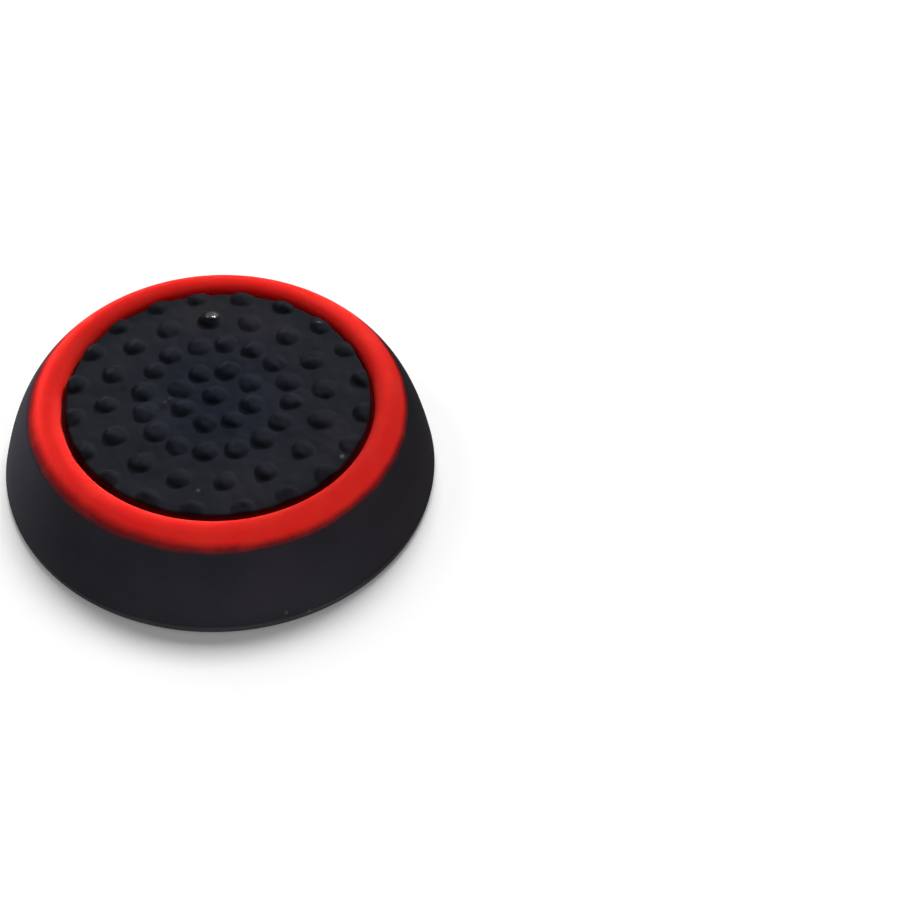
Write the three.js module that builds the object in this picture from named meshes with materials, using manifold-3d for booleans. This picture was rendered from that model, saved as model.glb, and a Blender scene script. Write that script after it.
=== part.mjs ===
// Thumb grip: a soft silicone cap that stretches over the head of a controller's thumbstick.
// Millimetres, +Z up. The origin is on the axis, in the plane of the cap's open lower edge.

import * as THREE from 'three';
import { mergeVertices } from 'three/addons/utils/BufferGeometryUtils.js';
import Module from 'manifold-3d';

const wasm = await Module();
wasm.setup();

// The stick's head that the cap fits, and how it fits it.
const headRadius = 9.1;
const headHeight = 2.5;
const headClearance = 0.1; // round the side of the head
const lipGrip = 1.3; // how far the lip reaches in under the head
const lipHeight = 1.1;
const ceilingThickness = 0.8; // from the top of the head up to the shelf
const mouthChamfer = 0.4;
const pocketRound = 0.5; // between the pocket's ceiling and its side wall
const lipRound = 0.3; // between the side wall and the lip's upper face

// Skirt: the flared wall that wraps round the side of the head.
const skirtWall = 2.3; // outside the pocket, at the skirt's widest line
const widestHeight = 0.46; // of that line above the lower edge
const footTuck = 0.22; // the lower edge turns in below the widest line
const skirtLean = 0.35; // these two set how steeply the wall rises from its widest line
const skirtRise = 1.44;

// Rim: the coloured crest on the shelf. Its outer flank carries on the line of the skirt.
const rimInset = 0.37; // its middle lies inside the pocket's side wall by this much
const crestRadius = 0.7;
const bandHeight = 0.17; // of the straight inner wall between the shelf and the crest's round
const crestTurn = 49.5; // degrees above level at which the round runs into the flank
const shoulderLength = 1.75; // these two shape the shoulder between flank and skirt

// Pad: the raised, slightly domed plateau under the thumb, inside the rim.
const grooveWidth = 0.23; // between the pad and the rim
const padRise = 0.57; // of its edge above the shelf
const padCrown = 0.1; // of its middle above its edge
const padEdgeRound = 0.15;

// Nubs: small domes in rings round one in the middle. The last ring stands on the pad's edge and is
// cut off there.
const nubRadius = 0.6;
const nubHeight = 0.38;
const nubRings = [
  { count: 8, turn: 23.4 },
  { count: 16, turn: 11.6 },
  { count: 16, turn: 22.9 },
];
const edgeRing = { count: 20, turn: 5 };
const edgeInset = 0.3; // from the pad's edge in to the last ring
const edgeRingGap = 1.86; // from the last ring in to the one before it

// Fineness of the curved faces.
const turnSegments = 60;
const wallSteps = 10;
const crestSteps = 8;
const arcSteps = 3;
const crownSteps = 3;
const nubSegments = 10;
const nubSteps = 3;

const rubberBlack = new THREE.MeshStandardMaterial({
  color: 0x1d1d20,
  roughness: 0.62,
  metalness: 0,
});
const rubberRed = new THREE.MeshStandardMaterial({
  color: 0xd0211d,
  roughness: 0.5,
  metalness: 0,
});

// Points along an arc, from one angle to another in degrees, both ends included.
function arc(centreX, centreY, radius, fromDegrees, toDegrees, steps) {
  const points = [];
  for (let i = 0; i <= steps; i += 1) {
    const angle = THREE.MathUtils.degToRad(fromDegrees + ((toDegrees - fromDegrees) * i) / steps);
    points.push(new THREE.Vector2(
      centreX + radius * Math.cos(angle),
      centreY + radius * Math.sin(angle),
    ));
  }
  return points;
}

// Turns a profile of radius and height round the Z axis.
function revolve(profile, segments) {
  const geometry = new THREE.LatheGeometry(profile, segments);
  geometry.rotateX(Math.PI / 2);
  return geometry;
}

function toSolid(geometry) {
  const bare = geometry.clone();
  bare.deleteAttribute('normal');
  bare.deleteAttribute('uv');
  const merged = mergeVertices(bare, 1e-5);
  return new wasm.Manifold(new wasm.Mesh({
    numProp: 3,
    vertProperties: new Float32Array(merged.attributes.position.array),
    triVerts: new Uint32Array(merged.index.array),
  }));
}

function toGeometry(solid) {
  const mesh = solid.getMesh();
  const geometry = new THREE.BufferGeometry();
  geometry.setAttribute('position', new THREE.BufferAttribute(mesh.vertProperties, mesh.numProp));
  geometry.setIndex(new THREE.BufferAttribute(mesh.triVerts, 1));
  geometry.computeVertexNormals();
  return geometry;
}

// Everything else follows from those sizes.
const pocketRadius = headRadius + headClearance;
const mouthRadius = headRadius - lipGrip;
const ceilingHeight = lipHeight + headHeight;
const shelfHeight = ceilingHeight + ceilingThickness;
const skirtRadius = pocketRadius + skirtWall;
const rimRadius = pocketRadius - rimInset;
const rimInner = rimRadius - crestRadius;
const crestHeight = shelfHeight + bandHeight;
const padRadius = rimInner - grooveWidth;
const padEdgeHeight = shelfHeight + padRise;
const padSphere = (padRadius ** 2 + padCrown ** 2) / (2 * padCrown);

// Height of the pad's domed face at some distance from the axis.
function padSurface(radius) {
  return padEdgeHeight + padCrown - padSphere + Math.sqrt(padSphere ** 2 - radius ** 2);
}

// The outer line from the widest line up to the crest, cut at the shelf: the body has the part
// below the shelf and the rim the part above it.
function outerWall() {
  const turn = THREE.MathUtils.degToRad(crestTurn);
  const flank = new THREE.Vector2(
    rimRadius + crestRadius * Math.cos(turn),
    crestHeight + crestRadius * Math.sin(turn),
  );
  const curve = new THREE.CubicBezierCurve(
    new THREE.Vector2(skirtRadius, widestHeight),
    new THREE.Vector2(skirtRadius - skirtLean, widestHeight + skirtRise),
    new THREE.Vector2(
      flank.x + shoulderLength * Math.sin(turn),
      flank.y - shoulderLength * Math.cos(turn),
    ),
    flank,
  );
  const points = curve.getPoints(wallSteps);
  const cut = points.findIndex((point) => point.y >= shelfHeight);
  const low = points[cut - 1];
  const share = (shelfHeight - low.y) / (points[cut].y - low.y);
  const seam = new THREE.Vector2(low.x + (points[cut].x - low.x) * share, shelfHeight);
  return { below: [...points.slice(0, cut), seam], above: [seam, ...points.slice(cut)] };
}

function pocketProfile() {
  return [
    new THREE.Vector2(0, ceilingHeight),
    ...arc(pocketRadius - pocketRound, ceilingHeight - pocketRound, pocketRound, 90, 0, arcSteps),
    ...arc(pocketRadius - lipRound, lipHeight + lipRound, lipRound, 0, -90, arcSteps),
    new THREE.Vector2(mouthRadius, lipHeight),
    new THREE.Vector2(mouthRadius, mouthChamfer),
    new THREE.Vector2(mouthRadius + mouthChamfer, 0),
  ];
}

function skirtProfile() {
  const foot = new THREE.QuadraticBezierCurve(
    new THREE.Vector2(skirtRadius - footTuck, 0),
    new THREE.Vector2(skirtRadius, 0),
    new THREE.Vector2(skirtRadius, widestHeight),
  );
  return [...foot.getPoints(arcSteps), ...outerWall().below.slice(1)];
}

function padProfile() {
  const inner = padRadius - padEdgeRound;
  const edge = arc(inner, padSurface(inner) - padEdgeRound, padEdgeRound, 0, 90, arcSteps);
  const points = [new THREE.Vector2(padRadius, shelfHeight), ...edge];
  for (let i = 1; i < crownSteps; i += 1) {
    const radius = inner * (1 - i / crownSteps);
    points.push(new THREE.Vector2(radius, padSurface(radius)));
  }
  points.push(new THREE.Vector2(0, padSurface(0)));
  return points;
}

// A nub is a dome on a short root that reaches down to just under the shelf.
function nubAt(x, y) {
  const surface = padSurface(Math.hypot(x, y));
  const sphere = (nubRadius ** 2 + nubHeight ** 2) / (2 * nubHeight);
  const centre = nubHeight - sphere;
  const start = THREE.MathUtils.radToDeg(Math.asin(-centre / sphere));
  const dome = arc(0, centre, sphere, start, 90, nubSteps);
  dome[nubSteps].x = 0;
  const root = shelfHeight - ceilingThickness / 4 - surface;
  const profile = [new THREE.Vector2(0, root), new THREE.Vector2(nubRadius, root), ...dome];
  const geometry = revolve(profile, nubSegments);
  geometry.translate(x, y, surface);
  return toSolid(geometry);
}

function nubRing(radius, count, turn) {
  const solids = [];
  for (let i = 0; i < count; i += 1) {
    const angle = THREE.MathUtils.degToRad(turn + (360 * i) / count);
    solids.push(nubAt(radius * Math.cos(angle), radius * Math.sin(angle)));
  }
  return solids;
}

// The inner rings are spaced evenly from the middle nub out to the last ring but one.
function nubSolids() {
  const edgeRadius = padRadius - edgeInset;
  const pitch = (edgeRadius - edgeRingGap) / nubRings.length;
  const solids = [nubAt(0, 0), ...nubRing(edgeRadius, edgeRing.count, edgeRing.turn)];
  nubRings.forEach((ring, i) => {
    solids.push(...nubRing(pitch * (i + 1), ring.count, ring.turn));
  });
  return solids;
}

// The nubs in line with the pad's wall: nothing of them hangs over the groove.
function trimmedNubs() {
  const floor = shelfHeight - ceilingThickness / 2;
  const top = padEdgeHeight + padCrown + 2 * nubHeight;
  const padColumn = toSolid(revolve([
    new THREE.Vector2(0, floor),
    new THREE.Vector2(padRadius, floor),
    new THREE.Vector2(padRadius, top),
    new THREE.Vector2(0, top),
  ], turnSegments));
  return wasm.Manifold.union(nubSolids()).intersect(padColumn);
}

function gripBody() {
  const profile = [...pocketProfile(), ...skirtProfile(), ...padProfile()];
  const body = toSolid(revolve(profile, turnSegments));
  return toGeometry(body.add(trimmedNubs()));
}

function rimRing() {
  const profile = [
    new THREE.Vector2(rimInner, shelfHeight),
    ...outerWall().above,
    ...arc(rimRadius, crestHeight, crestRadius, crestTurn, 180, crestSteps).slice(1),
    new THREE.Vector2(rimInner, shelfHeight),
  ];
  return toGeometry(toSolid(revolve(profile, turnSegments)));
}

const body = new THREE.Mesh(gripBody(), rubberBlack);
body.name = 'grip_body';

const rim = new THREE.Mesh(rimRing(), rubberRed);
rim.name = 'rim_ring';

const group = new THREE.Group();
group.add(body, rim);

export default group;
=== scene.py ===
import math

import bpy
import numpy as np
from mathutils import Matrix, Vector, noise


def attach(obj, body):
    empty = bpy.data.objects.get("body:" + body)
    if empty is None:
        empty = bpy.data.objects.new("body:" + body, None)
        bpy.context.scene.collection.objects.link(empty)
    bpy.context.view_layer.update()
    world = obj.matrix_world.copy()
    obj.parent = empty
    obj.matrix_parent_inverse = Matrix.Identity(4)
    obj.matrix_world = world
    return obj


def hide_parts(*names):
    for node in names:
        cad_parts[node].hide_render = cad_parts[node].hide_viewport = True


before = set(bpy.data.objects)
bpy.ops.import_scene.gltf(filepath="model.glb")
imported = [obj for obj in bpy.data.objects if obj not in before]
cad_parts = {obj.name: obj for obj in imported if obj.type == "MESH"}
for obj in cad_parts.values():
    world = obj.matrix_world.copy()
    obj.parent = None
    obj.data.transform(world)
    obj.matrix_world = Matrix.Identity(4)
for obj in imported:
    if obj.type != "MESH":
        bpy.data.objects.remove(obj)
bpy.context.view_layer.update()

mm = 0.001
scene = bpy.context.scene
scene.view_settings.view_transform = "Standard"


# profiles are lists of (radius, height) in millimetres
def arcPoints(centreR, centreZ, radius, fromDeg, toDeg, steps):
    angles = np.radians(np.linspace(fromDeg, toDeg, steps + 1))
    return [(centreR + radius * math.cos(a), centreZ + radius * math.sin(a)) for a in angles]


def bezierPoints(corners, steps):
    points = []
    for t in np.linspace(0, 1, steps + 1):
        row = [np.array(c, float) for c in corners]
        while len(row) > 1:
            row = [(1 - t) * a + t * b for a, b in zip(row, row[1:])]
        points.append(tuple(row[0]))
    return points


def linePoints(start, end, steps):
    return [(start[0] + (end[0] - start[0]) * i / steps, start[1] + (end[1] - start[1]) * i / steps)
            for i in range(1, steps)]


def smoothMax(a, b, blend):
    h = np.clip(blend - np.abs(a - b), 0, None) / blend
    return np.maximum(a, b) + h * h * blend * 0.25


def ring(radius, height, count):
    turn = np.arange(count) * 2 * math.pi / count
    return np.stack([radius * np.cos(turn), radius * np.sin(turn), height + 0 * turn], axis=1)


def ringFaces(a, countA, b, countB):
    # joins two rings; one may have twice as many points as the other
    if countA == countB:
        return [(a + j, a + (j + 1) % countA, b + (j + 1) % countA, b + j) for j in range(countA)]
    faces = []
    for j in range(min(countA, countB)):
        if countA > countB:
            p, q, s = a + 2 * j, a + 2 * j + 1, a + (2 * j + 2) % countA
            u, v = b + j, b + (j + 1) % countB
            faces += [(p, q, u), (q, v, u), (q, s, v)]
        else:
            p, q = a + j, a + (j + 1) % countA
            u, w, x = b + 2 * j, b + 2 * j + 1, b + (2 * j + 2) % countB
            faces += [(p, w, u), (p, q, w), (q, x, w)]
    return faces


sharpFrom = 45  # degrees between two faces from which their edge looks sharp


def meshFromRings(name, rings, closed, tips):
    counts = [len(r) for r in rings]
    starts = np.concatenate([[0], np.cumsum(counts)]).tolist()
    verts = np.concatenate(rings)
    faces = []
    for i in range(len(rings) if closed else len(rings) - 1):
        k = (i + 1) % len(rings)
        faces += ringFaces(starts[i], counts[i], starts[k], counts[k])
    if tips:  # heights of the first and last points, both on the axis
        first, last = len(verts), len(verts) + 1
        verts = np.concatenate([verts, [(0, 0, tips[0]), (0, 0, tips[1])]])
        n, m, base = counts[0], counts[-1], starts[-2]
        faces += [(first, (j + 1) % n, j) for j in range(n)]
        faces += [(base + j, base + (j + 1) % m, last) for j in range(m)]
    mesh = bpy.data.meshes.new(name)
    mesh.from_pydata((verts * mm).tolist(), [], faces)
    mesh.validate()
    mesh.shade_smooth()
    mesh.set_sharp_from_angle(angle=math.radians(sharpFrom))
    piece = bpy.data.objects.new(name, mesh)
    scene.collection.objects.link(piece)
    return piece, verts


# black body: pocket, skirt, shelf and nubbed pad in one moulding
bodyShape = dict(
    segments=640,
    skirtRadius=11.5, widestHeight=0.46, footTuck=0.22, shelfHeight=4.4,
    skirtLean=0.35, skirtRise=1.44, shoulderLength=1.75, wallSteps=34,
    creaseHeight=0.6, creaseDepth=0.045, creaseWidth=0.055,  # round the foot, above its lip
    pocketRadius=9.2, pocketRound=0.5, ceilingHeight=3.6,
    lipHeight=1.1, lipRound=0.3, lipEdge=0.1, mouthRadius=7.8, mouthChamfer=0.4,
    padRadius=7.9, padRise=0.57, padCrown=0.1, edgeRound=0.14, padRows=112,
    wallFlare=0.08, wallFlareFade=8,  # the pad's wall widens a little at its foot
    nubRadius=0.63, nubHeight=0.34, nubFullness=0.75, nubBlend=0.14,
    nubSizeSpread=0.10, nubHeightSpread=0.18, nubDrift=0.08,  # no two nubs are quite alike
    warpSize=0.42, warp=0.22, bendSize=0.9, bend=0.11,  # nor smooth, nor quite round
    offCentre=(-0.12, 0.04),  # of all nubs but those on the edge
    edgeLift=1.1, edgeFade=0.6,  # the nubs on the edge stand higher, but are worn down over this width
    edgeKeepNear=0.25, edgeKeepFar=0.75,  # what the wear leaves of them, in front and behind
    swellSize=1.0, swellHeight=0.065,  # the pad's slight unevenness
    seed=7,
)
rimShape = dict(radius=8.83, crest=0.7, band=0.17, crestTurn=49.5, crestSteps=18)
nubRings = [  # radius, how many, turn of the first in degrees
    (0.0, 1, 0.0),
    (1.913, 8, 23.4),
    (3.827, 16, 11.6),
    (5.74, 16, 22.9),
    (7.66, 20, 5.2),
]


def scatterNubs(s):
    draw = np.random.RandomState(s["seed"])
    nubs = []
    for radius, count, first in nubRings:
        onEdge = radius == nubRings[-1][0]
        shiftX, shiftY = (0, 0) if onEdge else s["offCentre"]
        lift = s["edgeLift"] if onEdge else 1
        for i in range(count):
            turn = math.radians(first + 360 * i / count)
            dx, dy, size, height = draw.uniform(-1, 1, 4)
            nubs.append((radius * math.cos(turn) + shiftX + s["nubDrift"] * dx,
                         radius * math.sin(turn) + shiftY + s["nubDrift"] * dy,
                         s["nubRadius"] * (1 + s["nubSizeSpread"] * size),
                         s["nubHeight"] * (1 + s["nubHeightSpread"] * height) * lift))
    return nubs


nubs = scatterNubs(bodyShape)


def outerWall(s, rim):
    # one line from the widest point up to the crest; the shelf height parts black from red
    turn = math.radians(rim["crestTurn"])
    crestHeight = s["shelfHeight"] + rim["band"]
    flank = (rim["radius"] + rim["crest"] * math.cos(turn), crestHeight + rim["crest"] * math.sin(turn))
    wall = bezierPoints([
        (s["skirtRadius"], s["widestHeight"]),
        (s["skirtRadius"] - s["skirtLean"], s["widestHeight"] + s["skirtRise"]),
        (flank[0] + s["shoulderLength"] * math.sin(turn), flank[1] - s["shoulderLength"] * math.cos(turn)),
        flank], s["wallSteps"])
    cut = next(i for i, p in enumerate(wall) if p[1] >= s["shelfHeight"])
    low, high = wall[cut - 1], wall[cut]
    share = (s["shelfHeight"] - low[1]) / (high[1] - low[1])
    seam = (low[0] + (high[0] - low[0]) * share, s["shelfHeight"])
    return wall[:cut] + [seam], [seam] + wall[cut:]


def skirtProfile(s):
    foot = bezierPoints([(s["skirtRadius"] - s["footTuck"], 0), (s["skirtRadius"], 0),
                         (s["skirtRadius"], s["widestHeight"])], 10)
    wall = outerWall(s, rimShape)[0]
    above = next(i for i, p in enumerate(wall) if p[1] > s["creaseHeight"] + 3 * s["creaseWidth"])
    fine = []  # extra rows where the crease is cut
    for share in np.linspace(0, 1, 14)[1:]:
        height = s["widestHeight"] + (wall[above][1] - s["widestHeight"]) * share
        radius = np.interp(height, [p[1] for p in wall], [p[0] for p in wall])
        off = (height - s["creaseHeight"]) / s["creaseWidth"]
        fine.append((radius - s["creaseDepth"] * math.exp(-off * off), height))
    return foot + fine + wall[above + 1:]


def pocketProfile(s):
    corner, under, edge = s["pocketRound"], s["lipRound"], s["lipEdge"]
    return (arcPoints(s["pocketRadius"] - corner, s["ceilingHeight"] - corner, corner, 90, 0, 6)
            + arcPoints(s["pocketRadius"] - under, s["lipHeight"] + under, under, 0, -90, 4)
            + arcPoints(s["mouthRadius"] + edge, s["lipHeight"] - edge, edge, 90, 180, 3)
            + [(s["mouthRadius"], s["mouthChamfer"]), (s["mouthRadius"] + s["mouthChamfer"], 0)])


def padHeight(s, x, y):
    # the dome, a slight unevenness, and the nubs on it
    sphere = (s["padRadius"] ** 2 + s["padCrown"] ** 2) / (2 * s["padCrown"])
    top = s["shelfHeight"] + s["padRise"] + s["padCrown"]
    dome = top - sphere + np.sqrt(sphere ** 2 - x * x - y * y)
    places, seed = list(zip(x.tolist(), y.tolist())), s["seed"]
    size = s["swellSize"]
    swell = np.array([noise.fractal((a / size, b / size, seed), 1.0, 2.0, 2) for a, b in places])
    dome = dome + s["swellHeight"] * swell
    size = s["warpSize"]
    warp = np.array([noise.noise((a / size, b / size, seed + 5)) for a, b in places])
    size = s["bendSize"]
    bend = np.array([noise.noise_vector((a / size, b / size, seed)) for a, b in places])
    bentX, bentY = x + s["bend"] * bend[:, 0], y + s["bend"] * bend[:, 1]
    lift = np.zeros_like(x)
    for cx, cy, radius, height in nubs:
        inside = 1 - ((bentX - cx) ** 2 + (bentY - cy) ** 2) / radius ** 2
        cap = np.where(inside > 0, height * np.clip(inside, 0, 1) ** s["nubFullness"], inside)
        lift = smoothMax(lift, cap, s["nubBlend"])
    lift = lift * (1 + s["warp"] * warp)
    reach = np.hypot(x, y)
    inward = np.clip((s["padRadius"] - reach) / s["edgeFade"], 0, 1)
    inFront = np.clip(-y / np.maximum(reach, 0.01), 0, 1)
    worn = 1 - s["edgeKeepFar"] + (s["edgeKeepFar"] - s["edgeKeepNear"]) * inFront
    return dome + lift * (1 - worn * (1 - inward * inward * (3 - 2 * inward)))


def padRing(s, radius, count):
    flat = ring(radius, 0, count)
    flat[:, 2] = padHeight(s, flat[:, 0], flat[:, 1])
    return flat


def padRings(s):
    count, edge, bevel = s["segments"], s["padRadius"], s["edgeRound"]
    wallTop = padRing(s, edge, count)[:, 2] - bevel  # where the edge's round begins
    rings = []
    for share in np.linspace(0, 1, 6):  # up the wall from the groove's floor
        wall = ring(edge + s["wallFlare"] * math.exp(-s["wallFlareFade"] * share), 0, count)
        wall[:, 2] = s["shelfHeight"] + (wallTop - s["shelfHeight"]) * share
        rings.append(wall)
    for a in np.radians([18, 36, 54, 72, 90]):
        top = padRing(s, edge - bevel * (1 - math.cos(a)), count)
        top[:, 2] -= bevel * (1 - math.sin(a))
        rings.append(top)
    for share in np.linspace(0, 1, s["padRows"])[1:-1]:
        radius = (edge - bevel) * (1 - share)
        # fewer points on the small rings
        halvings = int(np.clip(math.log2(edge / 2 / max(radius, 0.01)) + 1, 0, 4))
        rings.append(padRing(s, radius, count // 2 ** halvings))
    return rings


def makeBody(s):
    noise.seed_set(s["seed"])  # without it the nubs' bends differ from run to run
    count = s["segments"]
    ceiling = [ring(s["pocketRadius"] * share, s["ceilingHeight"], count // part)
               for share, part in ((0.06, 16), (0.14, 8), (0.3, 4), (0.6, 2))]
    lower = [ring(r, z, count) for r, z in pocketProfile(s) + skirtProfile(s)]
    tip = padHeight(s, np.zeros(1), np.zeros(1))[0]
    return meshFromRings("silicone_cap", ceiling + lower + padRings(s), False, (s["ceilingHeight"], tip))


body, bodyVerts = makeBody(bodyShape)
print("body", sum(len(f.vertices) - 2 for f in body.data.polygons), "triangles")


# marks of use: two shiny nubs, a small forked scratch and pale specks of dust
marks = dict(
    shiny=[(-0.06, 5.98, 0.34, 1.0), (5.6, 5.05, 0.3, 0.05)],  # x, y, reach and strength
    dark=[(-0.2, 5.72, 0.55, 0.85)],  # the same, round the shiny nub
    scratches=[((-3.25, -0.85), (-2.3, 0.3)), ((-2.75, 0.1), (-2.45, -0.45))],  # from where to where
    scratchWidth=0.06, scratchDark=0.6,
    padFrom=4.6,  # shine and scratches lie above this height
    specks=[(-2.72, -0.12, 5.0, 0.12, 0.16), (-2.5, 0.12, 5.0, 0.12, 0.14),  # x, y, z, reach and paleness
            (5.97, -4.64, 5.0, 0.10, 0.5), (-1.37, -6.2, 5.0, 0.08, 0.3), (10.38, -4.86, 2.5, 0.12, 0.5),
            (2.55, -11.12, 0.85, 0.06, 0.3), (3.72, -10.86, 0.5, 0.06, 0.5)],
)


def addMask(piece, name, values):
    layer = piece.data.attributes.new(name, "FLOAT", "POINT")
    layer.data.foreach_set("value", np.clip(values, 0, 1).astype(np.float32))


def toSegment(points, start, end):
    start, end = np.array(start), np.array(end)
    along = end - start
    share = np.clip((points - start) @ along / (along @ along), 0, 1)
    return np.linalg.norm(points - start - share[:, None] * along, axis=1)


def markBody(piece, verts, m):
    plan, onTop = verts[:, :2], verts[:, 2] > m["padFrom"]
    shine, dark, pale = np.zeros((3, len(verts)))
    for layer, spots in ((shine, m["shiny"]), (dark, m["dark"])):
        for x, y, reach, strength in spots:
            away = np.hypot(plan[:, 0] - x, plan[:, 1] - y)
            layer += strength * np.exp(-(away / reach) ** 8)
    for start, end in m["scratches"]:
        dark += m["scratchDark"] * np.exp(-(toSegment(plan, start, end) / m["scratchWidth"]) ** 2)
    for x, y, z, reach, strength in m["specks"]:
        pale += strength * np.exp(-(np.linalg.norm(verts - (x, y, z), axis=1) / reach) ** 2)
    addMask(piece, "shine", shine * onTop)
    addMask(piece, "dark", dark * onTop)
    addMask(piece, "pale", pale)


markBody(body, bodyVerts, marks)


# red rim: its flank runs on from the skirt, its crest stands over the groove
def makeRim(s):
    inner = s["radius"] - s["crest"]
    base = bodyShape["shelfHeight"]
    crestHeight = base + s["band"]
    profile = ([(inner, base)] + outerWall(bodyShape, s)[1]
               + arcPoints(s["radius"], crestHeight, s["crest"], s["crestTurn"], 180, s["crestSteps"])[1:]
               + linePoints((inner, crestHeight), (inner, base), 4))
    return meshFromRings("red_rim", [ring(r, z, bodyShape["segments"]) for r, z in profile], True, None)[0]


rim = makeRim(rimShape)
print("rim", sum(len(f.vertices) - 2 for f in rim.data.polygons), "triangles")


# materials
def startMaterial(name):
    material = bpy.data.materials.new(name)
    material.use_nodes = True
    nodes = material.node_tree.nodes
    return material, nodes, material.node_tree.links, nodes["Principled BSDF"]


def mathOn(nodes, links, operation, *values):
    node = nodes.new("ShaderNodeMath")
    node.operation = operation
    for socket, value in zip(node.inputs, values):
        if isinstance(value, (int, float)):
            socket.default_value = value
        else:
            links.new(value, socket)
    return node.outputs[0]


def axialOn(nodes, links, coords):
    # distance from the axis, place to the right and height
    split = nodes.new("ShaderNodeSeparateXYZ")
    links.new(coords, split.inputs[0])
    x, y, z = split.outputs
    square = mathOn(nodes, links, "ADD", mathOn(nodes, links, "MULTIPLY", x, x),
                    mathOn(nodes, links, "MULTIPLY", y, y))
    return mathOn(nodes, links, "SQRT", square), x, z


def noiseOn(nodes, links, coords, scale, detail):
    texture = nodes.new("ShaderNodeTexNoise")
    texture.inputs["Scale"].default_value = scale
    texture.inputs["Detail"].default_value = detail
    links.new(coords, texture.inputs["Vector"])
    return texture.outputs["Fac"]


def rampOn(nodes, links, factor, stops):
    ramp = nodes.new("ShaderNodeValToRGB")
    links.new(factor, ramp.inputs["Fac"])
    elements = ramp.color_ramp.elements
    elements[0].position, elements[0].color = stops[0]
    elements[1].position, elements[1].color = stops[-1]
    for position, colour in stops[1:-1]:
        elements.new(position).color = colour
    return ramp.outputs["Color"]


def rangeOn(nodes, links, value, low, high, outLow=0, outHigh=1):
    fit = nodes.new("ShaderNodeMapRange")
    for socket, number in (("From Min", low), ("From Max", high), ("To Min", outLow), ("To Max", outHigh)):
        fit.inputs[socket].default_value = number
    links.new(value, fit.inputs["Value"])
    return fit.outputs["Result"]


def mixOn(nodes, links, blend, factor, a, b):
    mix = nodes.new("ShaderNodeMix")
    mix.data_type = "RGBA"
    mix.blend_type = blend
    for name, value in (("Factor", factor), ("A", a), ("B", b)):
        if isinstance(value, (int, float, tuple)):
            mix.inputs[name].default_value = value
        else:
            links.new(value, mix.inputs[name])
    return mix.outputs["Result"]


def addBump(nodes, links, shader, height, strength, distance):
    bump = nodes.new("ShaderNodeBump")
    bump.inputs["Strength"].default_value = strength
    bump.inputs["Distance"].default_value = distance
    links.new(height, bump.inputs["Height"])
    links.new(bump.outputs["Normal"], shader.inputs["Normal"])


def maskOn(nodes, name):
    mask = nodes.new("ShaderNodeAttribute")
    mask.attribute_name = name
    return mask.outputs["Fac"]


def grey(level):
    return (level, level, level, 1)


blackLook = dict(
    middle=(0.0078, 0.0102, 0.0154, 1), outer=(0.0102, 0.0110, 0.0140, 1),  # of the pad: darker than the side, a painted shade that evens out the pad's stronger light, with a painted bluish reflection in the middle
    side=(0.0156, 0.0151, 0.0190, 1), lip=(0.028, 0.027, 0.030, 1),
    tintReach=12,  # the stops between the first three are shares of this radius
    lipTop=0.53, lipFade=0.1,  # the skirt's lower edge is paler: painted light of the floor's bounce
    groove=(0.07, 0.002, 0.004, 1),  # painted shade, tinted by painted red bounce light from the rim's inner wall, on the pad's wall and the groove's floor
    grooveRadius=8.3, grooveHalf=0.43, grooveTop=4.95, grooveLow=4.7,
    cloudScale=260, cloudDepth=0.16, warmScale=140, warm=(1.12, 0.98, 0.96, 1),
    dust=(0.16, 0.17, 0.18, 1), scratched=(0.004, 0.004, 0.005, 1),
    roughness=0.85, specular=0.02,
    shinyRoughness=0.3, coatRoughness=0.24, coatIor=3.0,  # of the shiny nubs
    grainScale=16000, grainHeight=0.000006, grainStrength=0.35, pitScale=2600, pitHeight=0.000012,
)


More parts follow.
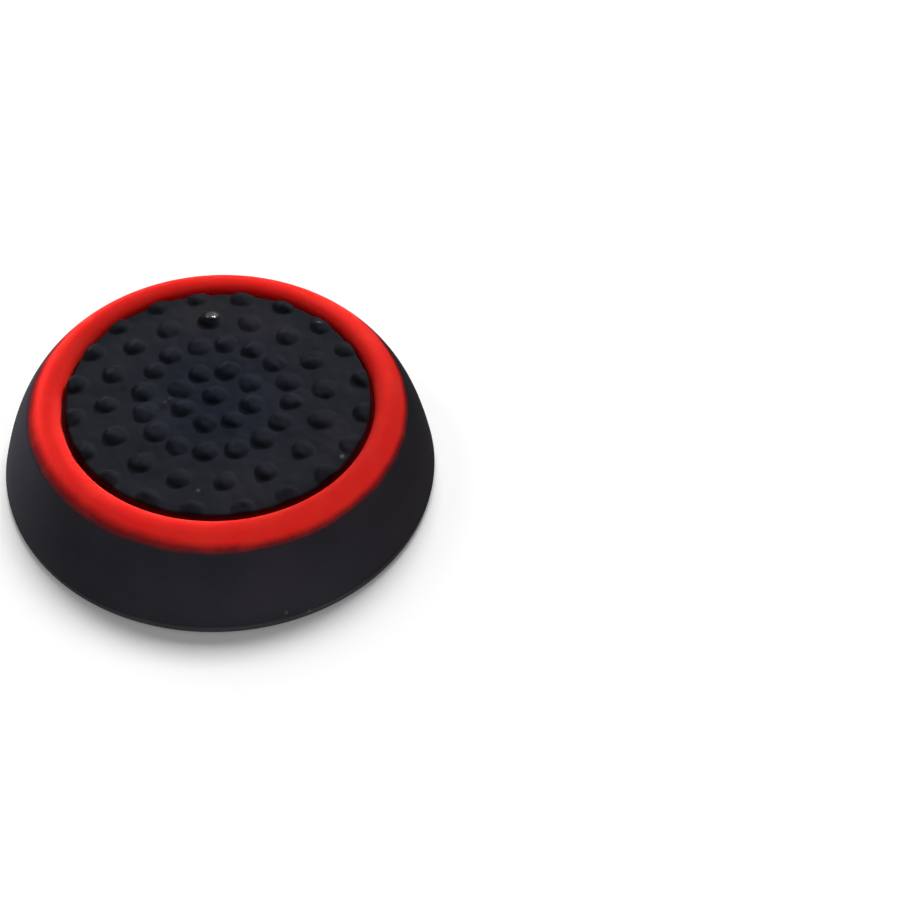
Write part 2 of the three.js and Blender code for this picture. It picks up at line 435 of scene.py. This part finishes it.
def blackSilicone(look):
    material, nodes, links, shader = startMaterial("black silicone")
    coords = nodes.new("ShaderNodeTexCoord").outputs["Object"]
    reach, x, z = axialOn(nodes, links, coords)
    # pad darker than the skirt: painted shade against the pad's stronger light; its bluish middle is a
    # painted reflection
    tint = rampOn(nodes, links, mathOn(nodes, links, "DIVIDE", reach, look["tintReach"] * mm), [
        (0.12, look["middle"]), (0.5, look["outer"]), (0.66, look["outer"]), (0.72, look["side"])])
    # painted shade with painted red bounce light, low in the groove round the pad
    nearGroove = mathOn(nodes, links, "COMPARE", reach, look["grooveRadius"] * mm, look["grooveHalf"] * mm)
    lowInGroove = rangeOn(nodes, links, z, look["grooveTop"] * mm, look["grooveLow"] * mm)
    inGrooveShade = mathOn(nodes, links, "MULTIPLY", nearGroove, lowInGroove)
    tint = mixOn(nodes, links, "MIX", inGrooveShade, tint, look["groove"])
    # painted light on the skirt's lower edge, where the floor's bounce falls
    onLitLip = rangeOn(nodes, links, z, (look["lipTop"] + look["lipFade"] / 2) * mm,
                    (look["lipTop"] - look["lipFade"] / 2) * mm)
    tint = mixOn(nodes, links, "MIX", onLitLip, tint, look["lip"])
    cloud = noiseOn(nodes, links, coords, look["cloudScale"], 4)
    depth = look["cloudDepth"]
    shade = rampOn(nodes, links, cloud, [(0.3, grey(1 - depth)), (0.7, grey(1 + depth))])
    tint = mixOn(nodes, links, "MULTIPLY", 1, tint, shade)
    patches = rangeOn(nodes, links, noiseOn(nodes, links, coords, look["warmScale"], 2), 0.5, 0.72)
    tint = mixOn(nodes, links, "MULTIPLY", patches, tint, look["warm"])
    tint = mixOn(nodes, links, "MIX", maskOn(nodes, "pale"), tint, look["dust"])
    tint = mixOn(nodes, links, "MIX", maskOn(nodes, "dark"), tint, look["scratched"])
    shine = maskOn(nodes, "shine")
    links.new(tint, shader.inputs["Base Color"])
    links.new(rangeOn(nodes, links, shine, 0, 1, look["roughness"], look["shinyRoughness"]),
              shader.inputs["Roughness"])
    links.new(shine, shader.inputs["Coat Weight"])
    shader.inputs["Coat Roughness"].default_value = look["coatRoughness"]
    shader.inputs["Coat IOR"].default_value = look["coatIor"]
    shader.inputs["Specular IOR Level"].default_value = look["specular"]
    grain = noiseOn(nodes, links, coords, look["grainScale"], 3)
    pits = mathOn(nodes, links, "MULTIPLY", noiseOn(nodes, links, coords, look["pitScale"], 2),
                  look["pitHeight"] / look["grainHeight"])
    relief = mathOn(nodes, links, "ADD", grain, pits)
    addBump(nodes, links, shader, relief, look["grainStrength"], look["grainHeight"])
    return material


redLook = dict(
    red=(0.64, 0.0180, 0.0148, 1), crest=(0.57, 0.0200, 0.0172, 1), pale=(0.62, 0.030, 0.018, 1),
    deep=(0.16, 0.008, 0.0085, 1), black=blackLook["side"],
    # the crest's red is darker than the flank's: painted shade that evens out the stronger light on the
    # crest, blended in between these heights
    crestLow=4.95, crestHigh=5.2,
    innerWall=8.9,  # the rim is red all the way down inside this radius
    fadeFrom=4.42,  # here black starts to give way to red; the fade is partly red bleeding over black at the seam, partly painted shade on the lower flank
    fadeRight=0.40, fadeRightAt=2, fadeLeft=0.75, fadeLeftAt=-8,  # over this height, at these places; widest on the left, where the painted shade darkens the flank lit by the low left fill
    ragged=0.15, raggedScale=420, nicks=0.07, nickScale=2400,
    wornScale=700, wornMost=0.5,  # patches of the pale red
    roughness=0.66, specular=0.0,
    glow=1.0, glowScale=0.0015, glowRadius=(1.0, 0.12, 0.08),  # light passes through the soft red rubber
    grainScale=9000, grainHeight=0.000006, grainStrength=0.3,
)


def redSilicone(look):
    material, nodes, links, shader = startMaterial("red silicone")
    coords = nodes.new("ShaderNodeTexCoord").outputs["Object"]
    reach, x, z = axialOn(nodes, links, coords)
    waves = noiseOn(nodes, links, coords, look["raggedScale"], 3)
    bites = noiseOn(nodes, links, coords, look["nickScale"], 2)
    seam = mathOn(nodes, links, "MULTIPLY_ADD", waves, look["ragged"] * mm, z)
    seam = mathOn(nodes, links, "MULTIPLY_ADD", bites, look["nicks"] * mm, seam)
    # red fading into black at the seam: partly real bleed, partly painted shade on the lower flank, widest
    # on the left
    start = look["fadeFrom"] + (look["ragged"] + look["nicks"]) / 2
    width = rangeOn(nodes, links, x, look["fadeLeftAt"] * mm, look["fadeRightAt"] * mm,
                    look["fadeLeft"] * mm, look["fadeRight"] * mm)
    fade = mathOn(nodes, links, "DIVIDE", mathOn(nodes, links, "SUBTRACT", seam, start * mm), width)
    fade = rangeOn(nodes, links, fade, 0, 1)
    inside = mathOn(nodes, links, "LESS_THAN", reach, look["innerWall"] * mm)
    redness = mathOn(nodes, links, "MAXIMUM", fade, inside)
    colour = rampOn(nodes, links, redness, [(0.0, look["black"]), (0.45, look["deep"]), (1.0, look["red"])])
    # painted shade: a darker red on the crest, where the light is strongest
    crest = rangeOn(nodes, links, z, look["crestLow"] * mm, look["crestHigh"] * mm)
    colour = mixOn(nodes, links, "MIX", crest, colour, look["crest"])
    patches = noiseOn(nodes, links, coords, look["wornScale"], 4)
    worn = rangeOn(nodes, links, patches, 0.45, 0.7, 0, look["wornMost"])
    worn = mathOn(nodes, links, "MULTIPLY", worn, redness)
    links.new(mixOn(nodes, links, "MIX", worn, colour, look["pale"]), shader.inputs["Base Color"])
    shader.inputs["Roughness"].default_value = look["roughness"]
    shader.inputs["Specular IOR Level"].default_value = look["specular"]
    glow = mathOn(nodes, links, "MULTIPLY", redness, look["glow"])
    links.new(glow, shader.inputs["Subsurface Weight"])
    shader.inputs["Subsurface Scale"].default_value = look["glowScale"]
    shader.inputs["Subsurface Radius"].default_value = look["glowRadius"]
    grain = noiseOn(nodes, links, coords, look["grainScale"], 3)
    addBump(nodes, links, shader, grain, look["grainStrength"], look["grainHeight"])
    return material


body.data.materials.append(blackSilicone(blackLook))
rim.data.materials.append(redSilicone(redLook))
print("materials done")

for piece, node, slot in ((body, "grip_body", "black_silicone"), (rim, "rim_ring", "red_silicone")):
    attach(piece, "root")
    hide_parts(node)


# floor, lights and camera
stageLook = dict(
    size=2.0, colour=(0.97, 0.97, 0.97, 1), roughness=0.9,
    whiteness=0.115, whiteFrom=0.0128, whiteTo=0.036,  # away from the part the floor turns plain white: painted light that wipes out the far tail of the part's shadow
    surround=0.165,  # strength of the world's light
)


def makeFloor(s):
    half = s["size"] / 2
    mesh = bpy.data.meshes.new("floor")
    mesh.from_pydata([(-half, -half, 0), (half, -half, 0), (half, half, 0), (-half, half, 0)],
                     [], [(0, 1, 2, 3)])
    floor = bpy.data.objects.new("floor", mesh)
    scene.collection.objects.link(floor)
    material, nodes, links, shader = startMaterial("pale floor")
    shader.inputs["Base Color"].default_value = s["colour"]
    shader.inputs["Roughness"].default_value = s["roughness"]
    shader.inputs["Specular IOR Level"].default_value = 0.0
    glow = nodes.new("ShaderNodeEmission")
    path = nodes.new("ShaderNodeLightPath")
    both = nodes.new("ShaderNodeAddShader")
    coords = nodes.new("ShaderNodeTexCoord").outputs["Object"]
    reach = axialOn(nodes, links, coords)[0]
    # painted light: the camera-seen glow rises away from the part and wipes out the shadow's far tail
    white = rangeOn(nodes, links, reach, s["whiteFrom"], s["whiteTo"], s["whiteness"], 1)
    seen = mathOn(nodes, links, "MULTIPLY", path.outputs["Is Camera Ray"], white)
    links.new(seen, glow.inputs["Strength"])
    links.new(shader.outputs["BSDF"], both.inputs[0])
    links.new(glow.outputs["Emission"], both.inputs[1])
    links.new(both.outputs["Shader"], nodes["Material Output"].inputs["Surface"])
    mesh.materials.append(material)


def makeWorld(strength):
    world = bpy.data.worlds.new("studio")
    world.use_nodes = True
    scene.world = world
    nodes, links = world.node_tree.nodes, world.node_tree.links
    path = nodes.new("ShaderNodeLightPath")
    level = rangeOn(nodes, links, path.outputs["Is Camera Ray"], 0, 1, strength, 1.0)
    links.new(level, nodes["Background"].inputs["Strength"])
    nodes["Background"].inputs["Color"].default_value = (1, 1, 1, 1)


# the two fills lie below the pad, so that they light the skirt and the rim's flank but not the nubs
softboxes = [  # name, place, width and height, power
    ("key", (0.020, 0.113, 0.2), (0.15, 0.07), 0.47),
    ("low left fill", (-0.15, 0.155, 0.004), (0.08, 0.008), 0.84),
    ("low front fill", (0.005, -0.2, 0.004), (0.12, 0.008), 0.27),
]
# a narrow oval beam that falls on the pad alone, from the right and behind
padSpot = dict(place=(0.165, 0.165, 0.16), power=4.3, spread=3.3, flatten=0.64, blend=0.12, radius=0.001)


def addSoftbox(name, place, size, power):
    light = bpy.data.lights.new(name, "AREA")
    light.shape = "RECTANGLE"
    light.size, light.size_y = size
    light.energy = power
    lamp = bpy.data.objects.new(name, light)
    lamp.location = place
    lamp.rotation_euler = (-Vector(place)).to_track_quat("-Z", "Y").to_euler()
    scene.collection.objects.link(lamp)


def addSpot(s):
    light = bpy.data.lights.new("pad spot", "SPOT")
    light.energy = s["power"]
    light.spot_size = math.radians(s["spread"])
    light.spot_blend = s["blend"]
    light.shadow_soft_size = s["radius"]
    lamp = bpy.data.objects.new("pad spot", light)
    lamp.location = s["place"]
    aim = Vector((0, 0, (bodyShape["shelfHeight"] + bodyShape["padRise"]) * mm)) - lamp.location
    lamp.rotation_euler = aim.to_track_quat("-Z", "Y").to_euler()
    lamp.scale = (1, s["flatten"], 1)
    scene.collection.objects.link(lamp)


makeFloor(stageLook)
makeWorld(stageLook["surround"])
for box in softboxes:
    addSoftbox(*box)
addSpot(padSpot)

view = dict(elevation=48.58, azimuth=-12.06, roll=5.07, distance=0.092,
            lookAt=(0.01244, -0.00041, 0), lens=66.45)


def makeCamera(v):
    elevation, azimuth = math.radians(v["elevation"]), math.radians(v["azimuth"])
    back = Vector((math.sin(azimuth) * math.cos(elevation), -math.cos(azimuth) * math.cos(elevation),
                   math.sin(elevation)))
    right = Vector((math.cos(azimuth), math.sin(azimuth), 0))
    up = back.cross(right)
    turn = Matrix((right, up, back)).transposed() @ Matrix.Rotation(math.radians(v["roll"]), 3, "Z")
    data = bpy.data.cameras.new("camera")
    data.lens = v["lens"]
    data.sensor_width = 36
    data.clip_start = 0.001
    camera = bpy.data.objects.new("camera", data)
    camera.matrix_world = Matrix.Translation(Vector(v["lookAt"]) + back * v["distance"]) @ turn.to_4x4()
    scene.collection.objects.link(camera)
    scene.camera = camera


makeCamera(view)
print("stage, lights and camera done")
